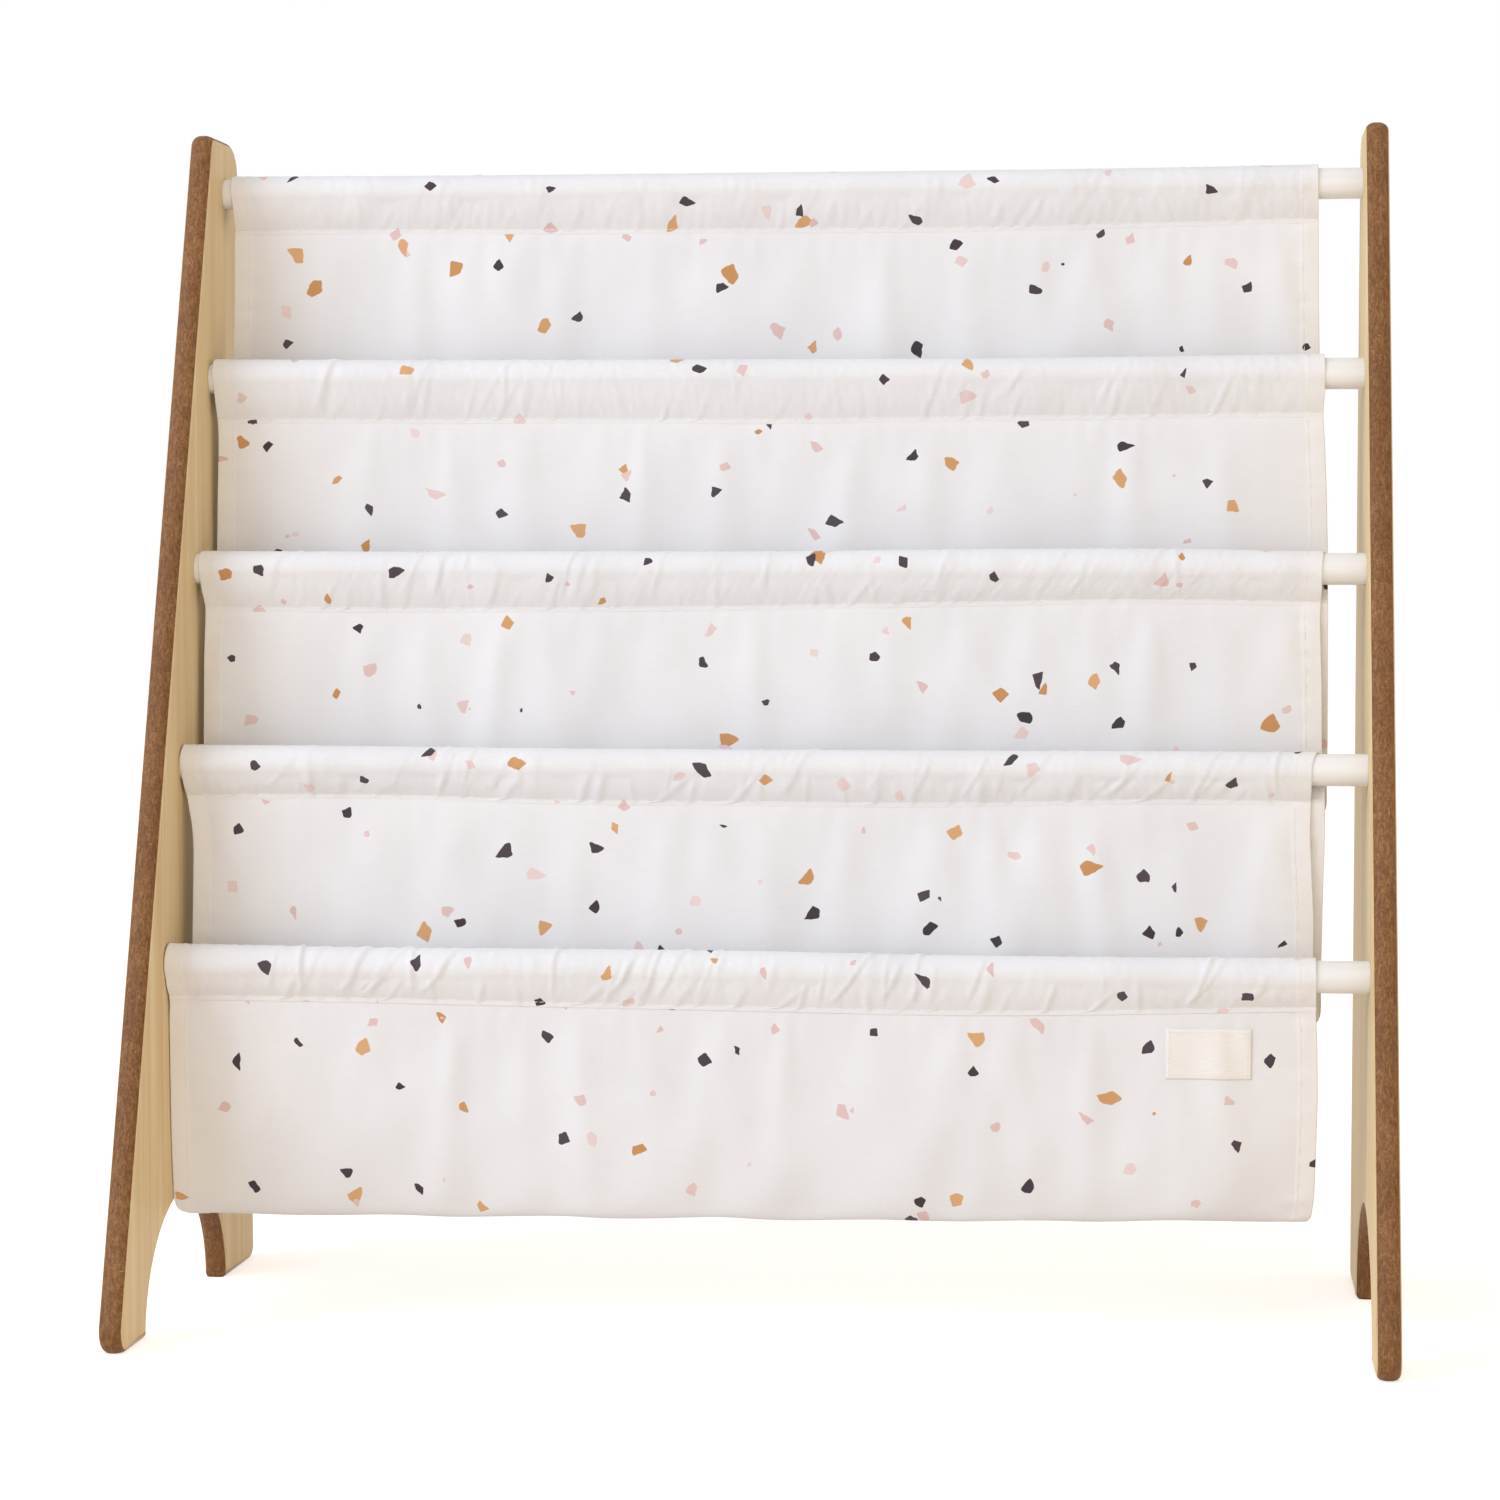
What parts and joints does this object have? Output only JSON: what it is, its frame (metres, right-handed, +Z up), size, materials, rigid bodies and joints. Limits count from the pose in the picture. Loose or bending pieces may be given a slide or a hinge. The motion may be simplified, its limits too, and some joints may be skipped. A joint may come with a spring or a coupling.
{
  "type": "sling bookshelf",
  "caption": "Low freestanding sling bookshelf: leaning side panels, round rails and a sewn cloth that hangs in book pockets, one above and behind the other.",
  "frame": {"origin": "on the floor, in the middle of the box around the whole rack", "axes": "+X along the rails to the right as seen from the front, -Y towards the front, +Z up"},
  "size_m": [0.622, 0.2806, 0.606],
  "materials": {
    "fibreboard": "bare medium-density fibreboard, oiled brown along the crowned edge",
    "veneer": "pale birch-like veneer, satin",
    "painted_wood": "white satin paint on turned wood",
    "insert_brass": "plain turned",
    "bolt_zinc": "zinc plated",
    "cloth": "off-white plain-woven polyester canvas with a sparse print of small chips",
    "label_cloth": "cream woven ribbon, blank"
  },
  "bodies": {
    "frame": {"left_panel_core": "fibreboard", "left_panel_inner_veneer": "veneer", "left_panel_outer_veneer": "veneer", "right_panel_core": "fibreboard", "right_panel_inner_veneer": "veneer", "right_panel_outer_veneer": "veneer", "rail_1": "painted_wood", "rail_2": "painted_wood", "rail_3": "painted_wood", "rail_4": "painted_wood", "rail_5": "painted_wood", "rail_1_left_insert": "insert_brass", "rail_2_left_insert": "insert_brass", "rail_3_left_insert": "insert_brass", "rail_4_left_insert": "insert_brass", "rail_5_left_insert": "insert_brass", "rail_1_right_insert": "insert_brass", "rail_2_right_insert": "insert_brass", "rail_3_right_insert": "insert_brass", "rail_4_right_insert": "insert_brass", "rail_5_right_insert": "insert_brass", "rail_1_left_bolt": "bolt_zinc", "rail_2_left_bolt": "bolt_zinc", "rail_3_left_bolt": "bolt_zinc", "rail_4_left_bolt": "bolt_zinc", "rail_5_left_bolt": "bolt_zinc", "rail_1_right_bolt": "bolt_zinc", "rail_2_right_bolt": "bolt_zinc", "rail_3_right_bolt": "bolt_zinc", "rail_4_right_bolt": "bolt_zinc", "rail_5_right_bolt": "bolt_zinc"},
    "sling": {"sleeve_1": "cloth", "sleeve_2": "cloth", "sleeve_3": "cloth", "sleeve_4": "cloth", "sleeve_5": "cloth", "pocket_1": "cloth", "pocket_2": "cloth", "pocket_3": "cloth", "pocket_4": "cloth", "blank_label": "label_cloth"}
  },
  "joints": [
    {"name": "sling_slide", "type": "slide", "parent": "frame", "child": "sling", "axis": [1, 0, 0], "range_m": [0, 0.017]}
  ]
}
